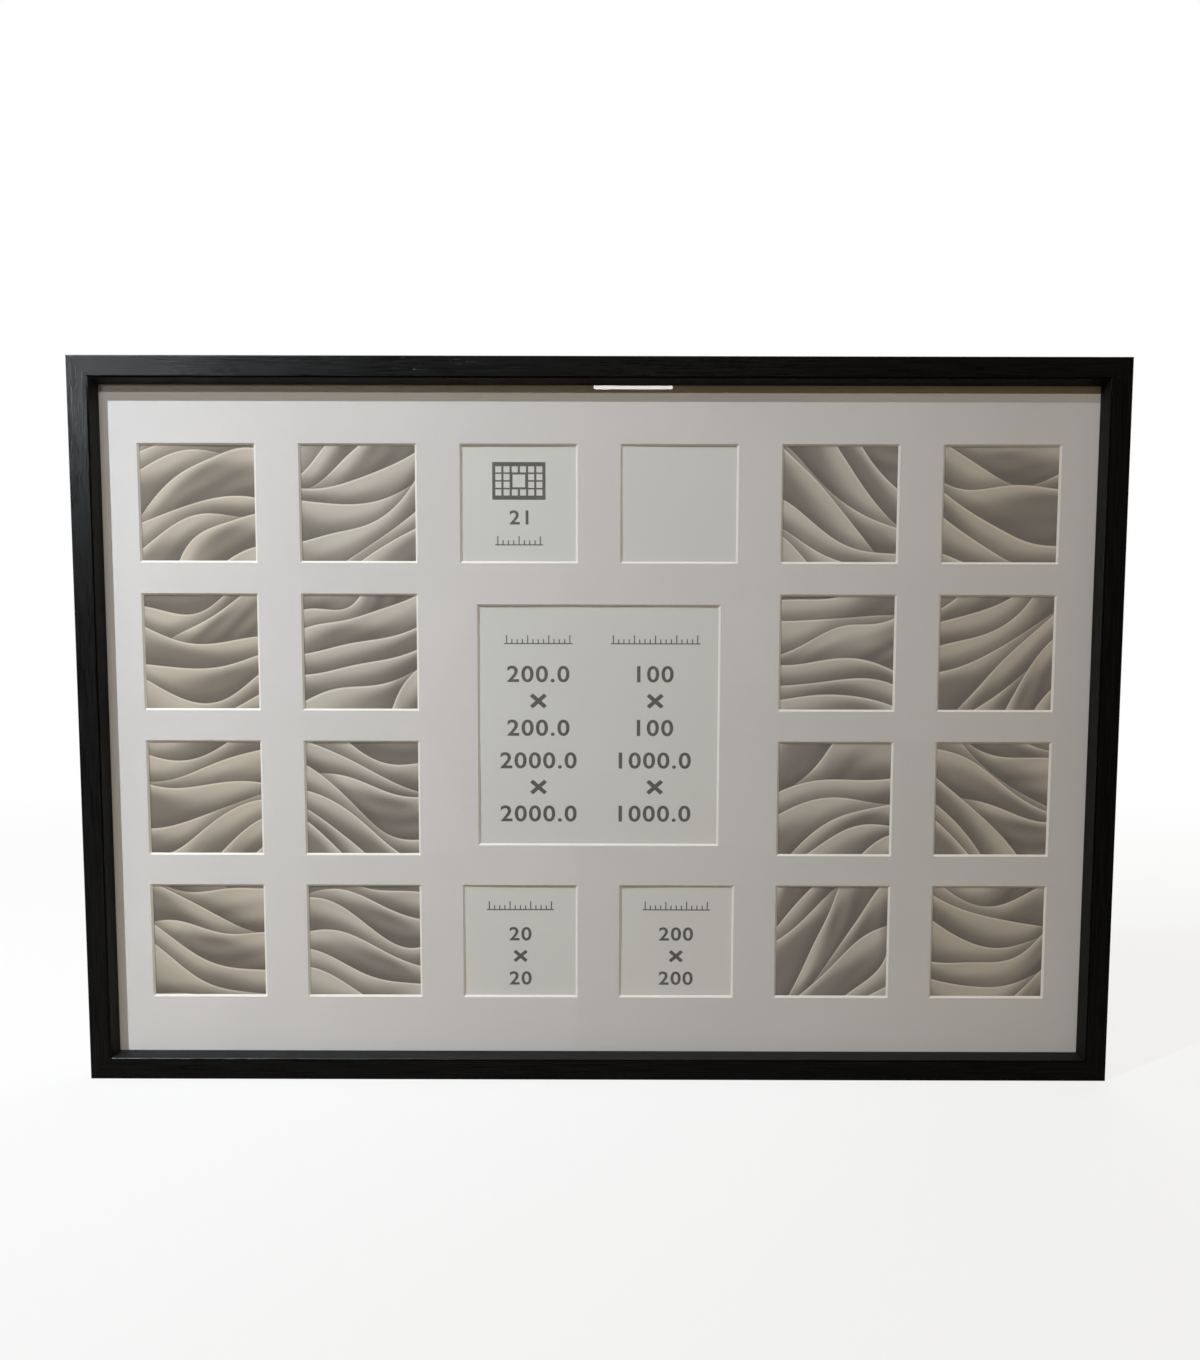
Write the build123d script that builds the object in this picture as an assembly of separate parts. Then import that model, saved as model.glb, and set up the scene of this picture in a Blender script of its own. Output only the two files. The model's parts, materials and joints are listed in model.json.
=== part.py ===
from build123d import *
import math
import os

# A collage picture frame for a wall, in millimetres. X runs to the right and Z up, seen from the front,
# and the front faces -Y. The origin is half way along the bottom edge and half way through its depth.

# Outside size
frame_width = 783.0
frame_height = 546.0

# Rail section, measured inwards from the outer edge and backwards from the front face
face_width = 16.3
lip_run = 3.0
lip_depth = 11.2
nose_thickness = 1.2
lip_overlap = 6.0
outer_edge_radius = 0.8
face_edge_radius = 0.7
back_edge_bevel = 0.4

# Flat panels that lie in the rebate behind the lip, with room behind the mat for the paper's waves
glass_thickness = 2.0
mat_thickness = 1.5
wave_room = 0.8
insert_thickness = 0.3
backing_thickness = 3.0
panel_clearance = 1.0

# Windows cut in the mat with a bevelled edge
window_side = 85.5
centre_window_side = 181.2
window_columns = 6
window_rows = 4
bevel_angle = 45.0

# Margins of the mat outside the windows, as shares of the bars between them
side_margin_share = 0.806
end_margin_share = 1.693

# V-nails across the back of each mitre
vnail_leg = 4.8
vnail_height = 7.0
vnail_sheet = 0.6
vnail_first = 3.4
vnail_spacing = 4.7
vnail_sunk = 0.3
vnail_gap = 0.05
vnails_per_corner = 2

# Turn buttons that hold the panels in
button_sheet = 0.8
button_pivot_radius = 4.8
button_tip_width = 6.4
button_tip_bevel = 1.4
button_reach = 18.9
button_lift = 1.1
button_bend_length = 4.2
button_hole_radius = 1.6
button_gap = 0.1
buttons_per_long_rail = 4
buttons_per_short_rail = 3

# Pan head screws, one through each turn button
screw_head_radius = 2.9
screw_head_height = 1.5
screw_crown_radius = 2.0
screw_shank_radius = 1.5
screw_depth = 9.0
screw_hole_gap = 0.05
screw_hole_spare = 0.5

# Saw-tooth hangers, bent from strip, two for each way up
hanger_length = 45.0
hanger_height = 11.0
hanger_sheet = 0.8
hanger_tab = 9.0
hanger_ramp = 2.6
hanger_stand_off = 2.0
hanger_corner_bevel = 1.2
tooth_pitch = 2.5
tooth_depth = 1.5
middle_tooth_depth = 2.6
top_hanger_spacing = 378.2
side_hanger_spacing = 173.1

# Prongs bent down from the hangers' ends and pressed into the wood, two at each end
prong_width = 3.2
prong_length = 5.0
prong_inset = 1.4
prong_gap = 0.05

# One overrun serves every cut
overrun = 1.0

# Worked out from the sizes above
panel_stack = glass_thickness + mat_thickness + wave_room + insert_thickness + backing_thickness
frame_depth = lip_depth + panel_stack
rail_width = face_width + lip_run
rebate_edge = rail_width - lip_overlap
panel_width = frame_width - 2 * (rebate_edge + panel_clearance)
panel_height = frame_height - 2 * (rebate_edge + panel_clearance)
pivot_line = rebate_edge / 2
bars_width = frame_width - 2 * rail_width - window_columns * window_side
bars_height = frame_height - 2 * rail_width - window_rows * window_side
window_pitch_x = window_side + bars_width / (window_columns - 1 + 2 * side_margin_share)
window_pitch_z = window_side + bars_height / (window_rows - 1 + 2 * end_margin_share)

# Which way is inwards from each side of the frame, and how far that side is from the middle
SIDES = {
    "top": ((0, 0, -1), frame_height / 2, frame_width),
    "bottom": ((0, 0, 1), frame_height / 2, frame_width),
    "left": ((1, 0, 0), frame_width / 2, frame_height),
    "right": ((-1, 0, 0), frame_width / 2, frame_height),
}


def back_of(side, along=0):
    """Plane on the back of one rail: X along the rail, Y inwards from its outer edge, Z off the back."""
    inwards, distance, _ = SIDES[side]
    off_back = Vector(0, 1, 0)
    along_rail = Vector(*inwards).cross(off_back)
    middle = Vector(0, frame_depth / 2, frame_height / 2)
    origin = middle - Vector(*inwards) * distance + along_rail * along
    return Plane(origin=origin, x_dir=along_rail, z_dir=off_back)


def behind_front(depth):
    """Plane that lies some depth behind the front face, on the frame's middle, facing the back."""
    return Plane(origin=(0, depth - frame_depth / 2, frame_height / 2), x_dir=(1, 0, 0), z_dir=(0, 1, 0))


def spaced(count, length):
    """Places of evenly spaced things along a rail, measured from its middle."""
    step = length / count
    return [(index - (count - 1) / 2) * step for index in range(count)]


def nearest(shape, x, y, z):
    """The corner of a section that lies nearest to a point."""
    return shape.vertices().sort_by_distance((x, y, z))[0]


def strip_outline(path, sheet):
    """Closed outline of a bent strip of even thickness whose underside follows the path."""
    upper = []
    for index, (x, y) in enumerate(path):
        headings = []
        if index > 0:
            headings.append(math.atan2(y - path[index - 1][1], x - path[index - 1][0]))
        if index < len(path) - 1:
            headings.append(math.atan2(path[index + 1][1] - y, path[index + 1][0] - x))
        mean = sum(headings) / len(headings)
        reach = sheet / math.cos((headings[-1] - headings[0]) / 2)
        upper.append((x - reach * math.sin(mean), y + reach * math.cos(mean)))
    return list(path) + upper[::-1]


def rail_section():
    """Section of the moulding: flat face, sloping inner side, thin nose and the rebate behind it."""
    outline = Polyline(
        (0, 0),
        (rebate_edge, 0),
        (rebate_edge, -panel_stack),
        (rail_width, -panel_stack),
        (rail_width, -panel_stack - nose_thickness),
        (face_width, -frame_depth),
        (0, -frame_depth),
        close=True,
    )
    section = make_face(Plane.YZ * outline)
    section = fillet(nearest(section, 0, 0, -frame_depth), outer_edge_radius)
    section = fillet(nearest(section, 0, face_width, -frame_depth), face_edge_radius)
    return chamfer(nearest(section, 0, 0, 0), back_edge_bevel)


def mitred_bar(length):
    """One rail with both ends cut at 45 degrees, lying along X with its back at zero."""
    bar = extrude(rail_section(), amount=length / 2, both=True)
    reach = rail_width + overrun
    ends = Polyline(
        (-length / 2 - overrun, -overrun),
        (length / 2 + overrun, -overrun),
        (length / 2 - reach, reach),
        (reach - length / 2, reach),
        close=True,
    )
    wedge = extrude(make_face(Plane.XY.offset(overrun) * ends), amount=-frame_depth - 2 * overrun)
    return bar & wedge


def vnail(start, grown=0):
    """One V-nail in a corner: two legs along the two rails, meeting on the mitre line."""
    low = start - grown
    inner = start + vnail_sheet + grown
    end = start + vnail_leg + grown
    shape = Polyline((low, low), (end, low), (end, inner), (inner, inner), (inner, end), (low, end), close=True)
    top = Plane.XY.offset(overrun if grown else -vnail_sunk)
    depth = vnail_height + (overrun + vnail_sunk + grown if grown else 0)
    return extrude(make_face(top * shape), amount=-depth)


def corner_planes():
    """Planes on the back of the four corners, each with X and Y along the two rails, inwards."""
    planes = []
    for side in SIDES:
        length = SIDES[side][2]
        planes.append(back_of(side, -length / 2))
    return planes


def corner_vnails(grown=0):
    """Every V-nail of the frame."""
    starts = [vnail_first + index * vnail_spacing for index in range(vnails_per_corner)]
    return [plane * vnail(start, grown) for plane in corner_planes() for start in starts]


def button_places():
    """Side and place along it of every turn button, with its number counted along the rail."""
    places = []
    for side, (_, _, length) in SIDES.items():
        count = buttons_per_long_rail if length == frame_width else buttons_per_short_rail
        for number, along in enumerate(spaced(count, length - 2 * rebate_edge), start=1):
            places.append((side, number, along))
    return places


def button_plan():
    """Outline of a turn button: round at the screw, tapering to a tip with clipped corners."""
    half = button_tip_width / 2
    tip = Polyline(
        (-half, button_reach - button_tip_bevel),
        (button_tip_bevel - half, button_reach),
        (half - button_tip_bevel, button_reach),
        (half, button_reach - button_tip_bevel),
    )
    return make_hull(Circle(button_pivot_radius).edges() + tip.edges())


def turn_button():
    """Bent steel button on its screw's axis, with its tip lifted for the finger."""
    path = [(-button_pivot_radius, 0), (button_reach - button_bend_length, 0), (button_reach, button_lift)]
    side_view = make_face(Plane.YZ * Polyline(*strip_outline(path, button_sheet), close=True))
    plate = extrude(side_view, amount=button_pivot_radius, both=True)
    height = button_sheet + button_lift + 2 * overrun
    hole = Cylinder(button_hole_radius, height, align=(Align.CENTER, Align.CENTER, Align.MIN))
    below = Pos(0, 0, -overrun)
    return (plate & extrude(below * button_plan(), amount=height)) - below * hole


def button_screw():
    """Screw of a turn button, with its head's underside at zero and its axis upright."""
    depth = screw_depth + button_sheet + 2 * button_gap
    outline = Polyline(
        (0, screw_head_height),
        (screw_crown_radius, screw_head_height),
        (screw_head_radius, 0),
        (screw_shank_radius, 0),
        (screw_shank_radius, -depth),
        (0, -depth),
        close=True,
    )
    return revolve(make_face(Plane.XZ * outline), axis=Axis.Z)


def pilot_hole(radius, depth):
    """Cutter for a blind round hole that starts at the back face."""
    hole = Cylinder(radius, depth + overrun, align=(Align.CENTER, Align.CENTER, Align.MAX))
    return Pos(0, 0, overrun) * hole


def hanger_side_view():
    """Edge view of a hanger: two flat tabs and a bridge that stands off the frame."""
    tab_end = hanger_length / 2 - hanger_tab
    bridge_end = tab_end - hanger_ramp
    right = [(bridge_end, hanger_stand_off), (tab_end, 0), (hanger_length / 2, 0)]
    path = [(-x, y) for x, y in right[::-1]] + right
    return make_face(Plane.XZ * Polyline(*strip_outline(path, hanger_sheet), close=True))


def saw_teeth():
    """Cutters for the notches along the hanger's lower edge, with a deeper one in the middle."""
    bridge = hanger_length - 2 * (hanger_tab + hanger_ramp) - 2 * hanger_sheet
    pairs = int((bridge / tooth_pitch - 1) / 2)
    teeth = []
    for index in range(-pairs, pairs + 1):
        depth = tooth_depth if index else middle_tooth_depth
        middle = index * tooth_pitch
        edge = hanger_height / 2
        notch = Polyline(
            (middle - tooth_pitch / 2, edge),
            (middle, edge - depth),
            (middle + tooth_pitch / 2, edge),
            (middle + tooth_pitch / 2, edge + overrun),
            (middle - tooth_pitch / 2, edge + overrun),
            close=True,
        )
        teeth.append(extrude(make_face(notch), amount=hanger_stand_off + hanger_sheet + overrun))
    return teeth


def prongs(grown=0):
    """The four pointed prongs of a hanger, or the slots for them when they are grown."""
    half = prong_width / 2 + grown
    top = overrun if grown else hanger_sheet
    apex = -prong_length * half * 2 / prong_width
    outline = Polyline((-half, top), (-half, 0), (0, apex), (half, 0), (half, top), close=True)
    sheet = hanger_sheet / 2 + grown
    prong = extrude(make_face(Plane.YZ * outline), amount=sheet, both=True)
    x = hanger_length / 2 - hanger_sheet / 2
    y = hanger_height / 2 - prong_inset - prong_width / 2
    return [Pos(side, end, 0) * prong for side in (-x, x) for end in (-y, y)]


def hanger_plan():
    """Outline of a hanger seen from behind, with clipped corners."""
    plan = Rectangle(hanger_length, hanger_height)
    return chamfer(plan.vertices(), hanger_corner_bevel)


def saw_tooth_hanger():
    """Hanger on its middle: bent strip with prongs at its ends and teeth below the bridge."""
    strip = extrude(hanger_side_view(), amount=hanger_height / 2, both=True)
    height = hanger_stand_off + hanger_sheet + 2 * overrun
    plate = strip & extrude(Pos(0, 0, -overrun) * hanger_plan(), amount=height)
    return (plate - saw_teeth()) + prongs()


def hanger_seats():
    """Name and plane of each hanger, with the plane's origin at the hanger's middle on the rail's back."""
    seats = {
        "hanger_top_left": ("top", -top_hanger_spacing / 2),
        "hanger_top_right": ("top", top_hanger_spacing / 2),
        "hanger_side_upper": ("left", side_hanger_spacing / 2),
        "hanger_side_lower": ("left", -side_hanger_spacing / 2),
    }
    return {name: back_of(side, along) * Pos(0, pivot_line) for name, (side, along) in seats.items()}


def holes_for(side):
    """Cutters for everything that is driven into the back of the rails."""
    cuts = corner_vnails(vnail_gap)
    screw_hole = pilot_hole(screw_shank_radius + screw_hole_gap, screw_depth + screw_hole_spare)
    for name, _, along in button_places():
        if name == side:
            cuts.append(back_of(side, along) * Pos(0, pivot_line) * screw_hole)
    for seat in hanger_seats().values():
        cuts.extend(seat * slot for slot in prongs(prong_gap))
    return cuts


def rail(side):
    """One rail of the frame in its place, with the slots and holes in its back."""
    return back_of(side) * mitred_bar(SIDES[side][2]) - holes_for(side)


def panel(depth, thickness):
    """Flat sheet that fills the rebate, with its front some depth behind the face."""
    return extrude(behind_front(depth) * Rectangle(panel_width, panel_height), amount=thickness)


def window_cutter(side):
    """Bevelled square cutter on the mat's front, wide there and as wide as the window at its back."""
    wide = side + 2 * (mat_thickness + overrun) * math.tan(math.radians(bevel_angle))
    square = Pos(0, 0, -overrun) * Rectangle(wide, wide)
    return extrude(square, amount=mat_thickness + 2 * overrun, taper=bevel_angle)


def mat_windows():
    """Cutters for all the windows: a grid of small ones around one large one in the middle."""
    small, large = window_cutter(window_side), window_cutter(centre_window_side)
    cutters = [large]
    for place in GridLocations(window_pitch_x, window_pitch_z, window_columns, window_rows):
        x, y, _ = place.position
        if abs(x) > window_pitch_x or abs(y) > window_pitch_z:
            cutters.append(place * small)
    return cutters


def build_nodes():
    """Every node of the frame by name."""
    nodes = {f"rail_{side}": rail(side) for side in SIDES}
    nodes["corner_nails"] = Compound(children=corner_vnails())

    mat_depth = lip_depth + glass_thickness
    insert_depth = mat_depth + mat_thickness + wave_room
    nodes["glass_pane"] = panel(lip_depth, glass_thickness)
    windows = [behind_front(mat_depth) * cutter for cutter in mat_windows()]
    nodes["mat_board"] = panel(mat_depth, mat_thickness) - windows
    nodes["insert_sheet"] = panel(insert_depth, insert_thickness)
    nodes["backing_board"] = panel(insert_depth + insert_thickness, backing_thickness)

    button, screw = turn_button(), button_screw()
    screws = []
    for side, number, along in button_places():
        pivot = back_of(side, along) * Pos(0, pivot_line)
        nodes[f"turn_button_{side}_{number}"] = pivot * Pos(0, 0, button_gap) * button
        screws.append(pivot * Pos(0, 0, button_sheet + 2 * button_gap) * screw)
    nodes["button_screws"] = Compound(children=screws)

    hanger = saw_tooth_hanger()
    for name, seat in hanger_seats().items():
        nodes[name] = seat * hanger
    return nodes


os.makedirs("parts", exist_ok=True)
for node_name, shape in build_nodes().items():
    export_step(shape, f"parts/{node_name}.step")
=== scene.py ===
"""Looks of a collage picture frame: black foil-wrapped rails, glass, a white mat with 21 windows,
a printed sheet behind it, and a board back that turn buttons hold. Lengths are in metres."""

from __future__ import annotations

import json
import logging
import math
from collections.abc import Iterable
from dataclasses import dataclass, field
from enum import Enum
from functools import partialmethod

import bmesh
import bpy
import numpy as np
from mathutils import Matrix, Vector


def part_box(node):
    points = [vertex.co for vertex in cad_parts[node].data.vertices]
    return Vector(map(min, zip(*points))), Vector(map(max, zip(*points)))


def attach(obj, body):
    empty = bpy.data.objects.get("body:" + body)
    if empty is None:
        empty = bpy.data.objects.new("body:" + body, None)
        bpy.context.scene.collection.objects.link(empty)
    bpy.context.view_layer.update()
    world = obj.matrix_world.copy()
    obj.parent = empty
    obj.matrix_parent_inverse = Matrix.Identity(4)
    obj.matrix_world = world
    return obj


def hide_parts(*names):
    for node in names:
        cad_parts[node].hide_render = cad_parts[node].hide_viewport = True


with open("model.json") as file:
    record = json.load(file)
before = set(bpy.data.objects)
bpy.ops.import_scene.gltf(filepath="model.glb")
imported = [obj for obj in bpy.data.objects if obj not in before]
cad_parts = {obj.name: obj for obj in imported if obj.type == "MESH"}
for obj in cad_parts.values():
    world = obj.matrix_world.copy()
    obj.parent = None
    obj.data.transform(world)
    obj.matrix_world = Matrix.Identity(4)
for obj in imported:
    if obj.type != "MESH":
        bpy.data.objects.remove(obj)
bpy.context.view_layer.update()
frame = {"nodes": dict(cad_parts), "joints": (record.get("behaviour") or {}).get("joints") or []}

log = logging.getLogger("collage_frame")

MM = 0.001
ROOT = "frame"
WHITE = (1.0, 1.0, 1.0)
Color = tuple[float, float, float]
Material = bpy.types.Material
Mesh = bpy.types.Mesh
Socket = bpy.types.NodeSocket


class Run(Enum):
    """Which way a rail, and so its grain, runs."""

    ACROSS = "x"
    UPRIGHT = "z"


class Side(Enum):
    """The four sides of the frame."""

    TOP = "top"
    BOTTOM = "bottom"
    LEFT = "left"
    RIGHT = "right"

    @property
    def run(self) -> Run:
        """Direction of the rail on this side."""
        return Run.ACROSS if self in (Side.TOP, Side.BOTTOM) else Run.UPRIGHT


class LampKind(Enum):
    """How a lamp sends its light."""

    SPOT = "SPOT"
    AREA = "AREA"


class Graph:
    """Short way to build a node tree for a material or for Geometry Nodes."""

    def __init__(self, tree: bpy.types.NodeTree) -> None:
        """Take over a tree and empty it."""
        self.tree = tree
        tree.nodes.clear()

    def node(self, kind: str, inputs: dict | None = None, **settings: object) -> bpy.types.Node:
        """Add a node.

        Args:
            kind: Node type without its common prefix, such as "TexNoise" or "MeshCube".
            inputs: Value or output socket for each input, by name or number.
            **settings: Properties of the node.

        Returns:
            The new node.
        """
        geometry = self.tree.type == "GEOMETRY"
        prefixes = ("GeometryNode", "FunctionNode", "ShaderNode") if geometry else ("ShaderNode",)
        prefix = next(p for p in prefixes if hasattr(bpy.types, p + kind))
        made = self.tree.nodes.new(prefix + kind)
        for name, value in settings.items():
            setattr(made, name, value)
        for key, value in (inputs or {}).items():
            self.feed(made.inputs[key], value)
        return made

    def out(self, kind: str, inputs: dict | None = None, **settings: object) -> Socket:
        """First output of a new node."""
        return self.node(kind, inputs, **settings).outputs[0]

    def feed(self, socket: Socket, value: object) -> None:
        """Set an input, where a colour of three numbers also gets its alpha of 1.

        Args:
            socket: The input.
            value: Value, or output socket that it is linked to.
        """
        if isinstance(value, Socket):
            self.tree.links.new(value, socket)
        else:
            socket.default_value = (*value, 1.0) if socket.type == "RGBA" else value

    def math(self, operation: str, *values: object, clamp: bool = False) -> Socket:
        """Result of a Math node on up to three values."""
        return self.out("Math", dict(enumerate(values)), operation=operation, use_clamp=clamp)

    add = partialmethod(math, "ADD")
    sub = partialmethod(math, "SUBTRACT")
    mul = partialmethod(math, "MULTIPLY")
    mul_add = partialmethod(math, "MULTIPLY_ADD")
    absolute = partialmethod(math, "ABSOLUTE")

    def step(self, value: object, low: float, high: float, to: tuple = (0.0, 1.0)) -> Socket:
        """Smooth change from one value to another as the input goes from low to high."""
        ends = {"Value": value, "From Min": low, "From Max": high, "To Min": to[0], "To Max": to[1]}
        return self.node("MapRange", ends, interpolation_type="SMOOTHSTEP").outputs["Result"]

    def vector(self, x: object = 0.0, y: object = 0.0, z: object = 0.0) -> Socket:
        """Vector of three values."""
        return self.out("CombineXYZ", {0: x, 1: y, 2: z})

    def axes(self, place: Socket) -> list[Socket]:
        """The three coordinates of a place."""
        return list(self.node("SeparateXYZ", {0: place}).outputs)

    def blend(self, share: object, first: object, second: object, mode: str = "MIX") -> Socket:
        """Colour that goes from the first to the second as the share goes from 0 to 1."""
        inputs = {0: share, 6: first, 7: second}
        return self.node("Mix", inputs, data_type="RGBA", blend_type=mode).outputs[2]

    def noise(self, place: Socket, scale: float | tuple, detail: float = 3.0, rough: float = 0.5) -> Socket:
        """Fractal noise.

        Args:
            place: Where it is read.
            scale: Waves in a metre, as one number or as one for each axis.
            detail: Number of finer layers.
            rough: How strong the finer layers are.

        Returns:
            Value from about 0 to 1.
        """
        if isinstance(scale, tuple):
            place = self.out("Mapping", {"Vector": place, "Scale": scale})
            scale = 1.0
        ends = {"Vector": place, "Scale": scale, "Detail": detail, "Roughness": rough}
        return self.node("TexNoise", ends).outputs["Fac"]

    def bump(self, height: object, depth: float, strength: float = 1.0) -> Socket:
        """Surface normal bumped by a height from 0 to 1 that stands for a depth in metres."""
        return self.out("Bump", {"Height": height, "Distance": depth, "Strength": strength})


class GeometryTree(Graph):
    """Geometry Nodes tree with named sizes, grown on a base mesh into a plain mesh."""

    def __init__(self, name: str, sizes: dict[str, float]) -> None:
        """Start a tree.

        Args:
            name: Name of the tree.
            sizes: Value of each of its named inputs.
        """
        super().__init__(bpy.data.node_groups.new(name, "GeometryNodeTree"))
        sockets = self.tree.interface
        for way in ("INPUT", "OUTPUT"):
            sockets.new_socket("Geometry", in_out=way, socket_type="NodeSocketGeometry")
        self.values = {}
        for title, value in sizes.items():
            kind = "NodeSocketInt" if isinstance(value, int) else "NodeSocketFloat"
            made = sockets.new_socket(title, in_out="INPUT", socket_type=kind)
            self.values[made.identifier] = value
        self.given = self.tree.nodes.new("NodeGroupInput").outputs

    def join(self, *parts: Socket) -> Socket:
        """Join some geometries.

        Args:
            *parts: The geometries.

        Returns:
            All of them as one geometry.
        """
        made = self.node("JoinGeometry")
        for part in parts:
            self.tree.links.new(part, made.inputs[0])
        return made.outputs[0]

    def moved(self, part: Socket, by: object = (0, 0, 0), turn: object = (0, 0, 0)) -> Socket:
        """A geometry turned about the origin and then moved."""
        return self.out("Transform", {"Geometry": part, "Translation": by, "Rotation": turn})

    def lifted(self, part: Socket, height: object) -> Socket:
        """A geometry moved up by a height."""
        return self.moved(part, self.vector(z=height))

    def end(self, instances: Socket, material: Material) -> None:
        """Make the instances real, dress them and lead them out.

        Args:
            instances: What the tree has made.
            material: Material of all of it.
        """
        real = self.out("RealizeInstances", {"Geometry": instances})
        dressed = self.out("SetMaterial", {"Geometry": real, "Material": material})
        self.feed(self.tree.nodes.new("NodeGroupOutput").inputs[0], dressed)

    def grow(self, base: Mesh) -> Mesh:
        """Run the tree.

        Args:
            base: Mesh that the tree works on.

        Returns:
            The result as a plain mesh.
        """
        holder = add_object(self.tree.name, base)
        modifier = holder.modifiers.new("tree", "NODES")
        modifier.node_group = self.tree
        for identifier, value in self.values.items():
            modifier[identifier] = value
        return baked(holder)


def add_object(name: str, data: bpy.types.ID) -> bpy.types.Object:
    """Put a new object at the origin.

    Args:
        name: Its name.
        data: Mesh, curve, lamp or camera that it shows.

    Returns:
        The new object.
    """
    made = bpy.data.objects.new(name, data)
    bpy.context.scene.collection.objects.link(made)
    return made


def baked(holder: bpy.types.Object) -> Mesh:
    """Carry out an object's modifiers, and remove the object.

    Args:
        holder: Object that was only made for this.

    Returns:
        The result as a plain mesh.
    """
    shown = holder.evaluated_get(bpy.context.evaluated_depsgraph_get())
    mesh = bpy.data.meshes.new_from_object(shown)
    bpy.data.objects.remove(holder)
    return mesh


def poured(work: bmesh.types.BMesh, name: str, materials: Iterable[Material] = ()) -> Mesh:
    """Turn a work mesh into a mesh, and free it.

    Args:
        work: The work mesh.
        name: Name of the new mesh.
        materials: Its materials.

    Returns:
        The new mesh.
    """
    mesh = bpy.data.meshes.new(name)
    work.to_mesh(mesh)
    work.free()
    mesh.materials.clear()
    for material in materials:
        mesh.materials.append(material)
    return mesh


@dataclass(frozen=True)
class FrameSizes:
    """Sizes that the looks need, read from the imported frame."""

    half_width: float
    half_height: float
    front: float
    back: float
    mat_front: float
    mat_back: float
    board_front: float

    @classmethod
    def read(cls) -> FrameSizes:
        """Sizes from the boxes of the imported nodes.

        Returns:
            The sizes, with the frame's middle at X zero.
        """
        low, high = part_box("rail_top")
        mat_low, mat_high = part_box("mat_board")
        board_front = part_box("backing_board")[0].y
        return cls(high.x, high.z / 2, low.y, high.y, mat_low.y, mat_high.y, board_front)


@dataclass(frozen=True)
class WindowGrid:
    """The mat's windows: small ones in a grid, round a large one in the middle."""

    pitch_x: float
    pitch_z: float
    side: float
    centre_side: float
    columns: int = 6
    rows: int = 4

    @classmethod
    def read(cls) -> WindowGrid:
        """Sizes of the windows, from the corners of the mat's front face.

        Returns:
            The grid, with sizes measured at the front of the bevels.
        """
        corners = [vertex.co for vertex in frame["nodes"]["mat_board"].data.vertices]
        face = [corner for corner in corners if corner.y < FRAME.mat_front + 0.01 * MM]
        across = cls.edges(corner.x for corner in face)
        upright = cls.edges(corner.z for corner in face)
        side = across[1] - across[0]
        pitch_x = (across[-1] - across[0] - side) / (cls.columns - 1)
        pitch_z = (upright[-1] - upright[0] - side) / (cls.rows - 1)
        # Both edges of the two outer rows, then one of a middle row, lie outside the large window
        outside = 3
        return cls(pitch_x, pitch_z, side, upright[-1 - outside] - upright[outside])

    @staticmethod
    def edges(values: Iterable[float]) -> list[float]:
        """Different values in order, without the board's own two edges."""
        return sorted({round(value, 5) for value in values})[1:-1]

    def middle(self, column: int, row: int) -> tuple[float, float]:
        """Find the middle of a small window.

        Args:
            column: Its column, counted from 0 at the left.
            row: Its row, counted from 0 at the bottom.

        Returns:
            Its X and Z.
        """
        x = (column - (self.columns - 1) / 2) * self.pitch_x
        z = FRAME.half_height + (row - (self.rows - 1) / 2) * self.pitch_z
        return x, z

    def openings(self) -> list[tuple[float, float, float]]:
        """List every window.

        Returns:
            X, Z and side of each, the large one first.
        """
        found = [(0.0, FRAME.half_height, self.centre_side)]
        for column in range(self.columns):
            for row in range(self.rows):
                x, z = self.middle(column, row)
                if max(abs(x), abs(z - FRAME.half_height)) > self.centre_side / 2:
                    found.append((x, z, self.side))
        return found


FRAME = FrameSizes.read()
WINDOWS = WindowGrid.read()


class Finish:
    """Base of all finishes: a named material led by one shader."""

    name: str

    def make(self) -> Material:
        """Build the material.

        Returns:
            A new material with this finish's name and looks.
        """
        material = bpy.data.materials.new(self.name)
        material.use_nodes = True
        g = Graph(material.node_tree)
        surface = self.surface(g, g.node("TexCoord").outputs["Object"])
        g.node("OutputMaterial", {"Surface": surface})
        return material

    def surface(self, g: Graph, here: Socket) -> Socket:
        """Build the shader.

        Args:
            g: The material's empty tree.
            here: The point on the object.

        Returns:
            The shader's output.
        """
        raise NotImplementedError

    @staticmethod
    def principled(g: Graph, **looks: object) -> Socket:
        """Principled shader with its inputs' names as keywords, an underscore for each space."""
        return g.out("BsdfPrincipled", {name.replace("_", " "): value for name, value in looks.items()})


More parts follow.
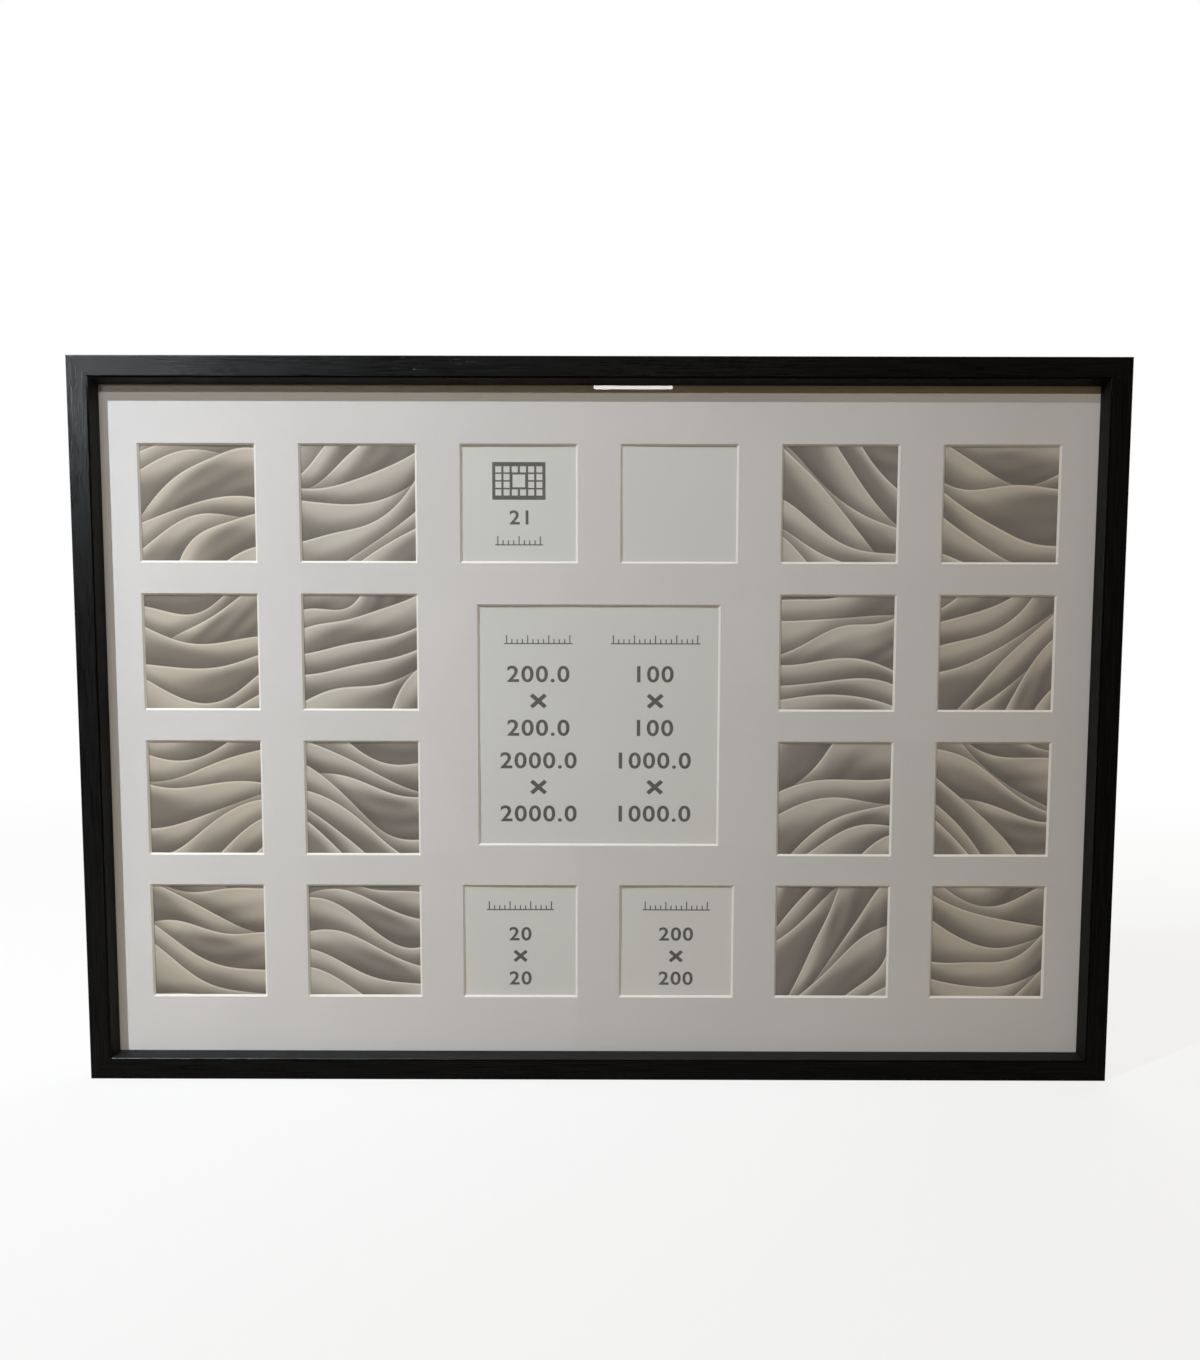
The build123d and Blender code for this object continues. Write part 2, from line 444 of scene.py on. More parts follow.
@dataclass(frozen=True)
class BlackFoil(Finish):
    """Black wood-grain foil wrapped round a fibre core that is bare on the back."""

    run: Run
    name: str = "black_grain_foil"
    dark: Color = (0.0018, 0.0019, 0.0020)
    pale: Color = (0.0078, 0.0080, 0.0084)
    core: Color = (0.47, 0.355, 0.235)
    grain_length: float = 30 * MM
    grain_width: float = 1.0 * MM
    grain_depth: float = 0.12 * MM
    pore_share: float = 2.3
    cloud_waves: float = 14.0
    quirk_at: float = 15.4 * MM
    quirk_half: float = 0.3 * MM
    quirk_fade: float = 0.7 * MM
    quirk_depth: float = 1.5 * MM
    quirk_drop: float = 5.0
    quirk_rough: float = 0.08
    tilt_half: float = 0.9 * MM
    lip_full: float = 1.2 * MM
    lip_rough: float = 0.62
    seam_width: float = 0.16 * MM
    seam_depth: float = 0.9
    seam_tint: float = 0.8
    cut: Color = (0.0015, 0.0015, 0.0015)
    painted_crease_shade: Color = (0.0008, 0.0008, 0.0008)
    crease_shade_share: float = 0.9
    lap: float = 4.5 * MM
    lap_wander: float = 1.2 * MM
    lap_waves: float = 160.0
    fibre_waves: float = 900.0
    back_skin: float = 0.05 * MM

    def surface(self, g: Graph, here: Socket) -> Socket:
        """Black grain along the rail, a crease painted dark as shade before a dull lip, and the bare core
        behind.

        Args:
            g: The material's empty tree.
            here: The point on the object.

        Returns:
            The shader's output.
        """
        grain, height = self.grain(g, here)
        x, y, z = g.axes(here)
        across = g.sub(FRAME.half_width, g.absolute(x))
        off_middle = g.absolute(g.sub(z, FRAME.half_height))
        upright = g.sub(FRAME.half_height, off_middle)
        off_mitre = g.absolute(g.sub(across, upright))
        seam = g.step(off_mitre, self.seam_width * 0.4, self.seam_width, (1.0, 0.0))
        face = g.blend(g.step(grain, 0.25, 0.75), self.dark, self.pale)
        outer = upright if self.run is Run.ACROSS else across
        # The foil ends behind the rail in a ragged line, and the fibre core is bare beyond it
        ragged = g.mul_add(g.noise(here, self.lap_waves), self.lap_wander, outer)
        behind = g.math("GREATER_THAN", y, FRAME.back - self.back_skin)
        bare = g.mul(behind, g.math("GREATER_THAN", ragged, self.lap))
        fibre = g.noise(here, self.fibre_waves, 4.0, 0.7)
        wood = g.blend(g.step(fibre, 0.3, 0.7), tuple(c * 0.72 for c in self.core), self.core)
        cloud = g.step(g.noise(here, self.cloud_waves, 2.0), 0.3, 0.7, (0.17, 0.22))
        rough = g.mul_add(bare, 0.4, g.mul_add(grain, 0.20, cloud))
        # The quirk is the thin line between the face and the lip: smooth and tilted to the lip, and painted
        # dark as the shade that falls in the crease
        off_quirk = g.sub(outer, self.quirk_at)
        quirk = g.step(g.absolute(off_quirk), self.quirk_half, self.quirk_fade, (1.0, 0.0))
        quirk = g.mul(quirk, g.math("LESS_THAN", y, FRAME.front + self.quirk_depth))
        # Painted shade: the quirk's colour is pulled towards the near black crease shade
        face = g.blend(g.mul(quirk, self.crease_shade_share), face, self.painted_crease_shade)
        lip = g.step(off_quirk, self.quirk_fade, self.lip_full)
        rough = g.mul_add(g.sub(self.lip_rough, rough), lip, rough)
        rough = g.mul_add(g.sub(self.quirk_rough, rough), quirk, rough)
        relief = g.sub(height, g.mul(seam, self.seam_depth))
        relief = g.mul(relief, g.sub(1.0, quirk))
        drop = g.step(off_quirk, -self.tilt_half, self.tilt_half, (0.0, -self.quirk_drop))
        relief = g.add(relief, drop)
        joined = g.blend(g.mul(seam, self.seam_tint), g.blend(bare, face, wood), self.cut)
        return self.principled(g, Base_Color=joined, Roughness=rough, Specular_IOR_Level=0.42,
                               Normal=g.bump(relief, self.grain_depth, 0.6))

    def grain(self, g: Graph, here: Socket) -> tuple[Socket, Socket]:
        """Build the grain, which runs along the rail.

        Args:
            g: The material's tree.
            here: The point on the object.

        Returns:
            The printed grain, and the relief pressed over it.
        """
        fine, long = 1 / self.grain_width, 1 / self.grain_length
        scale = (long, fine, fine) if self.run is Run.ACROSS else (fine, fine, long)
        grain = g.noise(here, scale, 5.0, 0.62)
        pores = g.noise(here, tuple(waves * self.pore_share for waves in scale), 2.0)
        return grain, g.sub(grain, g.step(pores, 0.55, 0.72, (0.0, 0.45)))


@dataclass(frozen=True)
class MatPaper(Finish):
    """White mat board: a toothed paper face and a creamy core that shows at the cut bevels."""

    name: str = "white_mat_board"
    face: Color = (0.800, 0.778, 0.785)
    shade: Color = (0.775, 0.756, 0.764)
    core: Color = (0.900, 0.878, 0.825)
    pit_shade: Color = (0.6, 0.58, 0.58)
    tooth: float = 0.35 * MM
    tooth_depth: float = 0.02 * MM
    cloud_waves: float = 6.0
    drag_waves: tuple[float, float, float] = (420.0, 60.0, 420.0)
    bevel_from: float = 0.03 * MM

    def surface(self, g: Graph, here: Socket) -> Socket:
        """Toothed face and dragged core, told apart by their depth.

        Args:
            g: The material's empty tree.
            here: The point on the object.

        Returns:
            The shader's output.
        """
        tooth = g.noise(here, 1 / self.tooth, 3.0, 0.6)
        face = g.blend(g.step(g.noise(here, self.cloud_waves, 2.0), 0.35, 0.65), self.shade, self.face)
        # Painted shade: the tooth's low pits, which the bump also sinks, are blended towards a grey
        face = g.blend(g.step(tooth, 0.2, 0.8, (0.06, 0.0)), face, self.pit_shade)
        drag = g.noise(here, self.drag_waves, 2.0)
        core = g.blend(g.step(drag, 0.3, 0.7), self.core, tuple(c * 0.96 for c in self.core))
        cut = g.math("GREATER_THAN", g.axes(here)[1], FRAME.mat_front + self.bevel_from)
        return self.principled(g, Base_Color=g.blend(cut, face, core), Roughness=0.85,
                               Specular_IOR_Level=0.25, Normal=g.bump(tooth, self.tooth_depth, 0.6))


@dataclass(frozen=True)
class PlainPaper(Finish):
    """Bare off-white paper of the sheet's back and edges."""

    name: str = "bare_paper"
    color: Color = (0.735, 0.735, 0.715)
    fibre: Color = (0.55, 0.55, 0.52)
    fibre_waves: float = 2200.0
    fibre_depth: float = 0.01 * MM

    def surface(self, g: Graph, here: Socket) -> Socket:
        """Off-white with faint fibres.

        Args:
            g: The material's empty tree.
            here: The point on the object.

        Returns:
            The shader's output.
        """
        fibre = g.noise(here, self.fibre_waves, 2.0, 0.6)
        colour = g.blend(g.step(fibre, 0.25, 0.75, (0.08, 0.0)), self.color, self.fibre)
        return self.principled(g, Base_Color=colour, Roughness=0.7, Specular_IOR_Level=0.3,
                               Normal=g.bump(fibre, self.fibre_depth, 0.5))


@dataclass(frozen=True)
class FoldPrint(Finish):
    """Printed paper: soft overlapping folds in taupe in the outer windows, and plain card in the rest.

    Lengths inside a window are shares of its side, and columns are counted from the frame's middle.
    """

    name: str = "taupe_fold_print"
    folds: int = 8
    spread: float = 1.34
    top: float = 0.66
    paper: Color = (0.735, 0.735, 0.715)
    crest: Color = (0.775, 0.728, 0.662)
    middle: Color = (0.405, 0.365, 0.315)
    hollow: Color = (0.082, 0.064, 0.050)
    brown: Color = (0.95, 0.90, 0.84)
    grit: Color = (0.30, 0.28, 0.25)
    grit_waves: float = 1500.0
    grit_depth: float = 0.01 * MM
    dim: float = 0.17
    glow: float = 0.55
    falloff: float = 0.36
    rim_width: float = 0.022
    rim_glow: float = 0.40
    soft_cast: float = 0.15
    crisp_cast: float = 0.018
    edge_blur: float = 0.0025
    printed_half: float = 0.56
    printed_from: float = 1.0
    brown_from: float = 2.0

    def fold_group(self) -> bpy.types.NodeTree:
        """One fold laid over what is behind it, as a node group.

        Returns:
            Group that takes the point in its window, the shade behind and the fold's own numbers.
        """
        tree = bpy.data.node_groups.new("paper_fold", "ShaderNodeTree")
        g = Graph(tree)
        for name in ("U", "V", "Below", "Level", "Lean", "Swell", "Phase", "Tone"):
            tree.interface.new_socket(name, in_out="INPUT", socket_type="NodeSocketFloat")
        tree.interface.new_socket("Shade", in_out="OUTPUT", socket_type="NodeSocketFloat")
        u, v, below, level, lean, swell, phase, tone = tree.nodes.new("NodeGroupInput").outputs[:8]
        # Two sines at different paces give the crest of the fold an uneven wave
        pace = g.mul_add(tone, 1.6, 2.7)
        turn = g.mul_add(u, pace, g.mul(phase, math.tau))
        slow = g.math("SINE", g.mul_add(turn, 1.9, 1.3))
        wave = g.mul_add(slow, 0.42, g.math("SINE", turn))
        crest = g.mul_add(wave, swell, g.mul_add(u, lean, level))
        under = g.sub(crest, v)
        # Light falls off below the crest over a reach that varies along the fold, with a faint ripple
        sway = g.math("SINE", g.mul_add(turn, 1.5, 2.1))
        reach = g.mul(g.mul_add(sway, 0.55, 1.0), g.mul_add(phase, 0.11, 0.09))
        fall = g.math("DIVIDE", under, reach)
        body = g.mul_add(g.math("POWER", self.falloff, g.mul(fall, fall)), self.glow, self.dim)
        ripple = g.math("SINE", g.mul_add(under, 34.0, g.mul(turn, 1.6)))
        body = g.mul_add(g.mul(ripple, tone), 0.08, body)
        rim = g.step(under, 0.0, self.rim_width, (self.rim_glow, 0.0))
        body = g.add(body, rim, clamp=True)
        # The fold casts a soft and a crisp shadow on what is seen above its crest
        above = g.mul(under, -1.0)
        soft = g.step(above, 0.0, self.soft_cast, (0.42, 1.0))
        cast = g.mul(soft, g.step(above, 0.0, self.crisp_cast, (0.70, 1.0)))
        behind = g.mul(below, cast)
        front = g.step(under, -self.edge_blur, self.edge_blur)
        ahead = g.mul(front, g.sub(body, behind))
        out = tree.nodes.new("NodeGroupOutput")
        g.feed(out.inputs[0], g.add(behind, ahead))
        return tree

    def surface(self, g: Graph, here: Socket) -> Socket:
        """Folds or bare card, by the window that the point on the sheet lies in.

        Args:
            g: The material's empty tree.
            here: The point on the object.

        Returns:
            The shader's output.
        """
        x, _, z = g.axes(here)
        column, u = self.cell(g, x, WINDOWS.pitch_x, 0.0, WINDOWS.columns)
        row, v = self.cell(g, z, WINDOWS.pitch_z, FRAME.half_height, WINDOWS.rows)
        shade = self.shade(g, g.vector(column, row), u, v)
        ramp = g.node("ValToRGB", {"Fac": shade})
        stops = ramp.color_ramp.elements
        stops[0].position, stops[0].color = 0.04, (*self.hollow, 1.0)
        stops[1].position, stops[1].color = 0.96, (*self.crest, 1.0)
        stops.new(0.48).color = (*self.middle, 1.0)
        off = g.absolute(g.sub(column, (WINDOWS.columns - 1) / 2))
        edge = g.math("GREATER_THAN", off, self.brown_from)
        toned = g.blend(edge, ramp.outputs[0], self.brown, "MULTIPLY")
        inside = g.math("MAXIMUM", g.absolute(u), g.absolute(v))
        near = g.math("LESS_THAN", inside, self.printed_half)
        printed = g.mul(g.math("GREATER_THAN", off, self.printed_from), near)
        grit = g.noise(here, self.grit_waves, 2.0, 0.7)
        colour = g.blend(printed, self.paper, toned)
        colour = g.blend(g.step(grit, 0.2, 0.8, (0.09, 0.0)), colour, self.grit)
        return self.principled(g, Base_Color=colour, Roughness=0.55, Specular_IOR_Level=0.35,
                               Normal=g.bump(grit, self.grit_depth, 0.4))

    def shade(self, g: Graph, cell: Socket, u: Socket, v: Socket) -> Socket:
        """Shade of all the folds at a point, each drawn over the one before.

        Args:
            g: Tree to build in.
            cell: Column and row of the window.
            u: Place across the window, as a share of its side.
            v: Place up the window, as a share of its side.

        Returns:
            Shade from 0, deep, to 1, bright.
        """
        # A slow warp and a turn of its own keep each window unlike the others
        picks = self.random(g, cell, 0)
        bend = g.math("SINE", g.mul_add(u, 3.0, g.mul(picks[1], math.tau)))
        lift = g.math("SINE", g.mul_add(v, 4.0, g.mul(picks[2], math.tau)))
        warped = g.vector(g.mul_add(lift, 0.07, u), g.mul_add(bend, 0.13, v))
        angle = g.mul_add(picks[0], 1.5, -0.75)
        turned = g.node("VectorRotate", {"Vector": warped, "Angle": angle}, rotation_type="Z_AXIS")
        along, up, _ = g.axes(turned.outputs[0])
        shade = g.step(up, -0.6, 0.7, (0.25, 0.55))
        group = self.fold_group()
        for index in range(self.folds):
            first, second, third = self.random(g, cell, index + 1)
            level = self.top - self.spread * index / (self.folds - 1)
            fold = g.node("Group", node_tree=group)
            numbers = {"U": along, "V": up, "Below": shade, "Phase": first, "Tone": third,
                       "Level": g.mul_add(second, 0.09, level),
                       "Lean": g.mul_add(third, 0.64, -0.32),
                       "Swell": g.mul_add(second, 0.055, 0.035)}
            for name, value in numbers.items():
                g.feed(fold.inputs[name], value)
            shade = fold.outputs["Shade"]
        return shade

    @staticmethod
    def random(g: Graph, cell: Socket, layer: int) -> list[Socket]:
        """Draw the numbers that belong to a window and a layer.

        Args:
            g: The material's tree.
            cell: Column and row of the window.
            layer: Number of the layer.

        Returns:
            Three numbers from 0 to 1.
        """
        spot = g.node("VectorMath", {0: cell, 1: (0.0, 0.0, float(layer))}, operation="ADD")
        drawn = g.node("TexWhiteNoise", {"Vector": spot.outputs[0]}, noise_dimensions="3D")
        return list(g.node("SeparateColor", {0: drawn.outputs["Color"]}).outputs)

    @staticmethod
    def cell(g: Graph, value: Socket, pitch: float, middle: float, count: int) -> tuple[Socket, Socket]:
        """Find the window that a coordinate falls in.

        Args:
            g: The material's tree.
            value: The coordinate.
            pitch: Distance from window to window.
            middle: Coordinate of the frame's middle.
            count: Number of windows along this axis.

        Returns:
            Number of the window, and the place from its middle as a share of its side.
        """
        steps = g.mul_add(value, 1 / pitch, (count - 1) / 2 - middle / pitch)
        number = g.math("ROUND", steps)
        return number, g.mul(g.sub(steps, number), pitch / WINDOWS.side)


@dataclass(frozen=True)
class Ink(Finish):
    """Dark print on the plain cards."""

    name: str = "card_ink"
    color: Color = (0.028, 0.025, 0.020)
    grit_waves: float = 1800.0

    def surface(self, g: Graph, here: Socket) -> Socket:
        """Near black with a faint grit.

        Args:
            g: The material's empty tree.
            here: The point on the object.

        Returns:
            The shader's output.
        """
        grit = g.noise(here, self.grit_waves, 2.0, 0.7)
        colour = g.blend(g.step(grit, 0.2, 0.8), self.color, tuple(c * 1.35 for c in self.color))
        return self.principled(g, Base_Color=colour, Roughness=0.6)


@dataclass(frozen=True)
class ClearGlass(Finish):
    """Clear float glass with a faint tint."""

    name: str = "clear_float_glass"
    tint: Color = (0.990, 0.993, 0.990)
    passing: Color = (0.935, 0.938, 0.935)
    bending: float = 1.52

    def surface(self, g: Graph, here: Socket) -> Socket:
        """Glass to sight, and a clear pane to the light that the lamps send through it.

        Args:
            g: The material's empty tree.
            here: The point on the object.

        Returns:
            The shader's output.
        """
        glass = self.principled(g, Base_Color=self.tint, Roughness=0.0, IOR=self.bending,
                                Transmission_Weight=1.0)
        clear = g.out("BsdfTransparent", {"Color": self.passing})
        path = g.node("LightPath").outputs
        passed = g.math("MAXIMUM", path["Is Shadow Ray"], path["Is Diffuse Ray"])
        return g.out("MixShader", {0: passed, 1: glass, 2: clear})


@dataclass(frozen=True)
class ZincSteel(Finish):
    """Zinc-plated sheet steel with a faint patchy bloom and handling marks."""

    name: str = "zinc_plated_steel"
    bright: Color = (0.37, 0.365, 0.355)
    dull: Color = (0.27, 0.27, 0.265)
    roughness: float = 0.27
    bloom_waves: float = 260.0
    mark_waves: tuple[float, float, float] = (900.0, 900.0, 5200.0)
    mark_depth: float = 0.008 * MM

    def surface(self, g: Graph, here: Socket) -> Socket:
        """Bright steel with patches of bloom and fine marks.

        Args:
            g: The material's empty tree.
            here: The point on the object.

        Returns:
            The shader's output.
        """
        patches = g.noise(here, self.bloom_waves, 3.0, 0.6)
        marks = g.noise(here, self.mark_waves, 2.0, 0.6)
        rough = g.add(g.step(patches, 0.3, 0.7, (0.0, 0.16)), g.step(marks, 0.55, 0.75, (0.0, 0.12)))
        colour = g.blend(g.step(patches, 0.35, 0.7), self.bright, self.dull)
        return self.principled(g, Base_Color=colour, Metallic=1.0, Roughness=g.add(rough, self.roughness),
                               Normal=g.bump(marks, self.mark_depth, 0.5))


@dataclass(frozen=True)
class Hardboard(Finish):
    """Thin fibre board: a smooth brown face with pressed fibres, flecks and a faint bloom."""

    name: str = "brown_fibre_board"
    pale: Color = (0.262, 0.160, 0.088)
    deep: Color = (0.240, 0.146, 0.080)
    fleck: Color = (0.100, 0.056, 0.029)
    felt_waves: float = 420.0
    felt_depth: float = 0.03 * MM
    cloud_waves: float = 9.0
    across_waves: tuple[float, float, float] = (260.0, 900.0, 1500.0)
    upright_waves: tuple[float, float, float] = (1500.0, 900.0, 260.0)

    def surface(self, g: Graph, here: Socket) -> Socket:
        """Felted brown fibres with flecks across and upright.

        Args:
            g: The material's empty tree.
            here: The point on the object.

        Returns:
            The shader's output.
        """
        felt = g.noise(here, self.felt_waves, 5.0, 0.72)
        threads = [g.noise(here, waves, 3.0, 0.6) for waves in (self.across_waves, self.upright_waves)]
        weave = g.math("MAXIMUM", *threads)
        cloud = g.noise(here, self.cloud_waves, 4.0, 0.55)
        colour = g.blend(g.step(cloud, 0.25, 0.75), self.deep, self.pale)
        colour = g.blend(g.step(felt, 0.3, 0.75, (0.35, 0.0)), colour, tuple(c * 0.7 for c in self.deep))
        colour = g.blend(g.step(weave, 0.64, 0.80, (0.0, 0.65)), colour, self.fleck)
        rough = g.step(felt, 0.2, 0.8, (0.72, 0.52))
        relief = g.mul_add(weave, 0.5, felt)
        return self.principled(g, Base_Color=colour, Roughness=rough, Specular_IOR_Level=0.35,
                               Normal=g.bump(relief, self.felt_depth, 0.6))


@dataclass(frozen=True)
class StudioFloor(Finish):
    """Pale matt floor that keeps the object's shadow and turns to white further out."""

    name: str = "studio_floor"
    matt: Color = (0.76, 0.76, 0.76)
    bounce: Color = (0.27, 0.22, 0.15)
    near_share: float = 0.78
    near: float = 0.5
    far: float = 2.2

    def surface(self, g: Graph, here: Socket) -> Socket:
        """White and matt mixed to sight, and a dim warm bounce to all else.

        Args:
            g: The material's empty tree.
            here: The point on the object.

        Returns:
            The shader's output.
        """
        x, y, _ = g.axes(here)
        away = g.math("SQRT", g.add(g.mul(x, x), g.mul(y, y)))
        share = g.step(away, self.near, self.far, (self.near_share, 1.0))
        matt = g.out("BsdfDiffuse", {"Color": self.matt})
        white = g.out("Emission", {"Color": WHITE, "Strength": 1.0})
        shown = g.out("MixShader", {0: share, 1: matt, 2: white})
        dim = g.out("BsdfDiffuse", {"Color": dimmed_in_gloss(g, self.bounce)})
        return g.out("MixShader", {0: backdrop_share(g, y), 1: dim, 2: shown})


def backdrop_share(g: Graph, depth: Socket) -> Socket:
    """How far the white backdrop shows: to sight and glass all round, to gloss on the far side.

    Args:
        g: Tree to build in.
        depth: How far back the place or direction lies.

    Returns:
        Factor from 0 to 1.
    """
    path = g.node("LightPath").outputs
    straight = g.math("MAXIMUM", path["Is Camera Ray"], path["Is Transmission Ray"])
    mirrored = g.mul(path["Is Glossy Ray"], g.step(depth, 0.0, 0.06))
    return g.math("MAXIMUM", straight, mirrored)


def dimmed_in_gloss(g: Graph, color: Color, share: float = 0.25) -> Socket:
    """Colour of the surroundings in front, which gloss sees darker than matt surfaces do."""
    return g.blend(g.node("LightPath").outputs["Is Glossy Ray"], color, tuple(c * share for c in color))


def dress(node: str, material: Material) -> None:
    """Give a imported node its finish.

    Args:
        node: Name of the node.
        material: Material for all its faces.
    """
    piece = frame["nodes"][node]
    piece.data.materials.clear()
    piece.data.materials.append(material)
    log.info("%s dressed in %s", node, material.name)


def register(piece: bpy.types.Object, body: str, node: str | None = None) -> None:
    """Put a new piece on its body and the node that it stands for.

    Args:
        piece: The new piece.
        body: Body that it moves with.
        node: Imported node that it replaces, if any.
    """
    if node:
        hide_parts(node)
    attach(piece, body)
    log.info("%s made with %d faces", piece.name, len(piece.data.polygons))


@dataclass
class Rails:
    """The four mitred rails of foil-wrapped moulding."""

    slot: str = "rail_foil"

    def build(self) -> None:
        """Dress each rail, with its grain along it."""
        foils = {run: BlackFoil(run=run, name=f"black_grain_foil_{run.value}").make() for run in Run}
        for side in Side:
            dress(f"rail_{side.value}", foils[side.run])


@dataclass
class Panels:
    """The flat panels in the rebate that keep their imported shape: glass, mat and board."""

    def build(self) -> None:
        """Dress the glass, the mat and the backing board."""
        dress("glass_pane", ClearGlass().make())
        dress("mat_board", MatPaper().make())
        dress("backing_board", Hardboard().make())


@dataclass
class PrintedSheet:
    """The loose printed sheet, which waves a little in the room behind the mat."""

    step: float = 4.5 * MM
    thickness: float = 0.25 * MM
    clearance: float = 0.06 * MM
    long_wave: float = 190 * MM
    short_wave: float = 83 * MM
    long_share: float = 0.36
    short_share: float = 0.14

    def front(self, x: np.ndarray, z: np.ndarray) -> np.ndarray:
        """Depth of the sheet's printed face.

        Args:
            x: Places across the frame.
            z: Places up the frame.

        Returns:
            The Y of each place.
        """
        slow = np.sin(math.tau * (x + 0.8 * z) / self.long_wave + 1.0)
        slow = slow * np.cos(math.tau * z / (1.7 * self.long_wave) + 0.5)
        quick = np.sin(math.tau * (x + 0.4 * z) / self.short_wave + 2.2)
        room = FRAME.board_front - FRAME.mat_back - self.thickness - 2 * self.clearance
        waves = self.long_share * slow + self.short_share * quick
        return FRAME.mat_back + self.clearance + room * (0.5 + waves)

    def build(self) -> None:
        """Make the sheet in place of its flat stand-in."""
        low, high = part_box("insert_sheet")
        columns = round((high.x - low.x) / self.step) + 1
        rows = round((high.z - low.z) / self.step) + 1
        x, z = np.meshgrid(np.linspace(low.x, high.x, columns), np.linspace(low.z, high.z, rows))
        face = self.front(x, z)
        layers = [np.stack([x, face + back, z], axis=-1).reshape(-1, 3) for back in (0.0, self.thickness)]
        printed, plain = self.quads(columns, rows)
        mesh = bpy.data.meshes.new("printed_sheet")
        mesh.from_pydata(np.concatenate(layers).tolist(), [], printed + plain)
        mesh.materials.append(FoldPrint().make())
        mesh.materials.append(PlainPaper().make())
        for index, polygon in enumerate(mesh.polygons):
            polygon.material_index = int(index >= len(printed))
            polygon.use_smooth = index < 2 * len(printed)
        register(add_object("printed_sheet", mesh), ROOT, "insert_sheet")

    @staticmethod
    def quads(columns: int, rows: int) -> tuple[list, list]:
        """Faces of the printed front, and of the bare back and edges.

        Args:
            columns: Points across the sheet.
            rows: Points up the sheet.

        Returns:
            The two lists of faces, over a front and then a back layer of points.
        """
        count = columns * rows
        corners = [row * columns + column for row in range(rows - 1) for column in range(columns - 1)]
        front = [(a, a + 1, a + 1 + columns, a + columns) for a in corners]
        back = [tuple(count + index for index in reversed(face)) for face in front]
        rim = [row * columns for row in range(rows - 1, 0, -1)]
        rim += list(range(columns - 1))
        rim += [row * columns + columns - 1 for row in range(rows - 1)]
        rim += [(rows - 1) * columns + column for column in range(columns - 1, 0, -1)]
        ends = rim[1:] + rim[:1]
        return front, back + [(end, start, start + count, end + count) for start, end in zip(rim, ends)]


@dataclass(frozen=True)
class TickRow:
    """A row of ticks on a base line, like the edge of a rule."""

    count: int
    pitch: float = 4 * MM
    stroke: float = 0.85 * MM
    short: float = 3.0 * MM
    tall: float = 6.0 * MM
    every: int = 4
    base_share: float = 0.99
    base_sink: float = 0.52

    def mesh(self, ink: Material, thickness: float) -> Mesh:
        """Grow the row, centred on the origin in the XZ plane.

        Args:
            ink: Material of the ticks.
            thickness: Thickness of the ink.

        Returns:
            The row as a mesh.
        """
        g = GeometryTree("tick_row", {"Count": self.count, "Pitch": self.pitch, "Stroke": self.stroke,
                                      "Short": self.short, "Tall": self.tall, "Every": self.every,
                                      "Ink": thickness})
        given = g.given
        length = g.mul(g.sub(given["Count"], 1.0), given["Pitch"])
        line = g.out("MeshLine", {"Count": given["Count"], "Start Location": g.vector(g.mul(length, -0.5)),
                                  "Offset": g.vector(given["Pitch"])})
        place = g.math("MODULO", g.out("InputIndex"), given["Every"])
        major = g.math("LESS_THAN", place, 0.5)
        growth = g.sub(g.math("DIVIDE", given["Tall"], given["Short"]), 1.0)
        scale = g.vector(1.0, 1.0, g.mul_add(major, growth, 1.0))
        tick = g.out("MeshCube", {"Size": g.vector(given["Stroke"], given["Ink"], given["Short"])})
        tick = g.lifted(tick, g.mul(given["Short"], 0.5))
        # The base's lengths end just short of each other and of the ticks, so that no faces coincide
        width = g.mul(given["Pitch"], self.base_share)
        base = g.out("MeshCube", {"Size": g.vector(width, given["Ink"], given["Stroke"])})
        base = g.lifted(base, g.mul(given["Stroke"], -self.base_sink))
        ticks = g.out("InstanceOnPoints", {"Points": line, "Instance": tick, "Scale": scale})
        bases = g.out("InstanceOnPoints", {"Points": line, "Instance": base})
        g.end(g.join(ticks, bases), ink)
        return g.grow(bpy.data.meshes.new("tick_base"))


